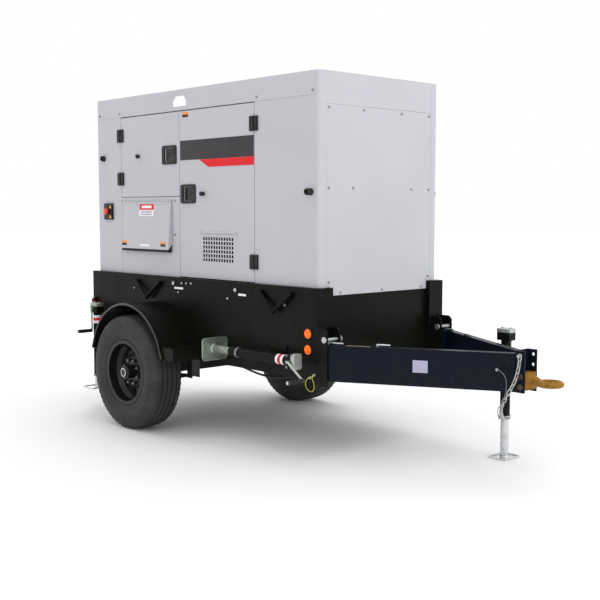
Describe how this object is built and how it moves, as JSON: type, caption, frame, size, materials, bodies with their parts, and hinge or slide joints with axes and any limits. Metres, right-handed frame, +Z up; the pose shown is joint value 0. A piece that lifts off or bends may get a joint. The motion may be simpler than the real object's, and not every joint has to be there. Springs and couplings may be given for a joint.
{
  "type": "towable diesel generator",
  "caption": "Sound-attenuated diesel generator canopy on a single-axle trailer base with A-frame drawbar, lunette eye, crank jacks and opening doors.",
  "frame": {"origin": "on the ground, at the middle of the overall length and width", "axes": "+X towards the tow eye, +Y to the left side of the trailer, +Z up"},
  "size_m": [3.78, 1.758, 2.31],
  "materials": {
    "base_paint": "semi-gloss black powder coat",
    "drawbar_paint": "semi-gloss black powder coat, slightly blue",
    "canopy_paint": "satin light grey powder coat",
    "tow_eye_paint": "worn mustard paint over forged steel",
    "zinc": "zinc plated, slightly dull",
    "spring_steel": "black painted spring steel",
    "screw_steel": "plain dome heads",
    "black_plastic": "moulded black",
    "red_plastic": "moulded red",
    "amber_lens": "ribbed amber lens",
    "red_lens": "ribbed red lens",
    "tyre": "rubber",
    "wheel_paint": "gloss black",
    "rubber": "plain",
    "engine_paint": "grey engine enamel",
    "alternator_paint": "grey enamel",
    "radiator_aluminium": "finned core",
    "muffler_steel": "heat-dulled steel",
    "yellow_cord": "braided",
    "steel_cable": "thin stranded wire in a dull jacket"
  },
  "bodies": {
    "trailer": {"side_plate_right": "base_paint", "side_plate_left": "base_paint", "base_cross_members": "base_paint", "fuel_tank": "base_paint", "fender_right": "base_paint", "fender_left": "base_paint", "frame_brackets": "base_paint", "axle_beam": "base_paint", "leaf_springs": "spring_steel", "side_lights": "amber_lens", "tail_lights": "red_lens", "drawbar_beam_right": "drawbar_paint", "drawbar_beam_left": "drawbar_paint", "coupler_channel": "drawbar_paint", "tow_eye": "tow_eye_paint", "pins_and_bolts": "zinc", "canopy_side_right": "canopy_paint", "canopy_side_left": "canopy_paint", "canopy_front_wall": "canopy_paint", "front_service_panel": "canopy_paint", "canopy_rear_wall": "canopy_paint", "roof_panel": "canopy_paint", "roof_fascias": "canopy_paint", "panel_screws": "screw_steel", "hinges_and_fittings": "black_plastic", "receptacle_panel": "canopy_paint", "front_jack_tube": "base_paint", "rear_jack_tube": "base_paint", "vibration_mounts": "rubber", "engine": "engine_paint", "alternator": "alternator_paint", "radiator": "radiator_aluminium", "air_cleaner": "black_plastic", "muffler": "muffler_steel", "battery": "black_plastic", "control_cabinet": "canopy_paint", "safety_chain": "zinc", "lanyard": "yellow_cord", "breakaway_cable": "steel_cable", "underfloor_hose": "rubber"},
    "control_door": {"control_door": "canopy_paint"},
    "control_latch": {"control_door_latch": "black_plastic"},
    "main_door": {"main_door": "canopy_paint"},
    "main_latch": {"main_door_latch": "black_plastic"},
    "engine_door": {"engine_door": "canopy_paint"},
    "engine_latch": {"engine_door_latch": "black_plastic"},
    "receptacle_flap": {"receptacle_flap": "canopy_paint"},
    "e_stop": {"e_stop_button": "red_plastic"},
    "right_wheel": {"wheel_right": "wheel_paint", "tyre_right": "tyre"},
    "left_wheel": {"wheel_left": "wheel_paint", "tyre_left": "tyre"},
    "front_leg": {"front_jack_leg": "zinc"},
    "front_crank": {"front_jack_crank": "zinc"},
    "rear_leg": {"rear_jack_leg": "zinc"},
    "rear_crank": {"rear_jack_crank": "zinc"},
    "side_jack": {"side_jack_tube": "base_paint"},
    "side_leg": {"side_jack_leg": "zinc"},
    "side_crank": {"side_jack_crank": "zinc"},
    "fan": {"cooling_fan": "black_plastic"}
  },
  "joints": [
    {"name": "control_door_swing", "type": "hinge", "parent": "trailer", "child": "control_door", "pos_m": [-1.521, -0.545, 1.88], "axis": [0, 0, -1], "range_deg": [0, 172]},
    {"name": "control_latch_pull", "type": "hinge", "parent": "control_door", "child": "control_latch", "pos_m": [-0.955, -0.522, 1.876], "axis": [0, 0, -1], "range_deg": [0, 40], "stiffness_Nm_per_rad": 0.4},
    {"name": "main_door_swing", "type": "hinge", "parent": "trailer", "child": "main_door", "pos_m": [-0.011, -0.545, 1.6], "axis": [0, 0, 1], "range_deg": [0, 172]},
    {"name": "main_latch_pull", "type": "hinge", "parent": "main_door", "child": "main_latch", "pos_m": [-0.66, -0.522, 1.607], "axis": [0, 0, 1], "range_deg": [0, 40], "stiffness_Nm_per_rad": 0.4},
    {"name": "engine_door_swing", "type": "hinge", "parent": "trailer", "child": "engine_door", "pos_m": [-0.011, 0.545, 1.6], "axis": [0, 0, -1], "range_deg": [0, 172]},
    {"name": "engine_latch_pull", "type": "hinge", "parent": "engine_door", "child": "engine_latch", "pos_m": [-0.66, 0.522, 1.607], "axis": [0, 0, -1], "range_deg": [0, 40], "stiffness_Nm_per_rad": 0.4},
    {"name": "receptacle_flap_lift", "type": "hinge", "parent": "trailer", "child": "receptacle_flap", "pos_m": [-1.192, -0.54, 1.561], "axis": [-1, 0, 0], "range_deg": [0, 100]},
    {"name": "e_stop_press", "type": "slide", "parent": "trailer", "child": "e_stop", "axis": [0, 1, 0], "range_m": [0, 0.006], "stiffness_N_per_m": 400},
    {"name": "right_wheel_spin", "type": "hinge", "parent": "trailer", "child": "right_wheel", "pos_m": [-1.006, -0.7615, 0.391], "axis": [0, 1, 0], "continuous": true},
    {"name": "left_wheel_spin", "type": "hinge", "parent": "trailer", "child": "left_wheel", "pos_m": [-1.006, 0.7615, 0.391], "axis": [0, 1, 0], "continuous": true},
    {"name": "front_jack_crank", "type": "hinge", "parent": "trailer", "child": "front_crank", "pos_m": [1.249, 0.438, 0.752], "axis": [0, 1, 0], "range_deg": [-10080, 6840]},
    {"name": "front_jack_extend", "type": "slide", "parent": "trailer", "child": "front_leg", "axis": [0, 0, -1], "range_m": [-0.2105, 0.143]},
    {"name": "rear_jack_crank", "type": "hinge", "parent": "trailer", "child": "rear_crank", "pos_m": [-1.736, -0.683, 0.767], "axis": [0, -1, 0], "range_deg": [-3240, 13680]},
    {"name": "rear_jack_extend", "type": "slide", "parent": "trailer", "child": "rear_leg", "axis": [0, 0, -1], "range_m": [-0.068, 0.2855]},
    {"name": "side_jack_swivel", "type": "hinge", "parent": "trailer", "child": "side_jack", "pos_m": [0.279, -0.675, 0.615], "axis": [0, 1, 0], "range_deg": [-90, 0]},
    {"name": "side_jack_crank", "type": "hinge", "parent": "side_jack", "child": "side_crank", "pos_m": [0.506, -0.731, 0.615], "axis": [0, -1, 0], "range_deg": [-7200, 9360]},
    {"name": "side_jack_extend", "type": "slide", "parent": "side_jack", "child": "side_leg", "axis": [-1, 0, 0], "range_m": [-0.1505, 0.1955]},
    {"name": "fan_spin", "type": "hinge", "parent": "trailer", "child": "fan", "pos_m": [0.058, 0, 1.139], "axis": [1, 0, 0], "continuous": true}
  ],
  "couplings": [
    {"joint": "front_jack_extend", "follows": "front_jack_crank", "m_per_rad": 0.0011937},
    {"joint": "rear_jack_extend", "follows": "rear_jack_crank", "m_per_rad": 0.0011937},
    {"joint": "side_jack_extend", "follows": "side_jack_crank", "m_per_rad": 0.0011937}
  ]
}
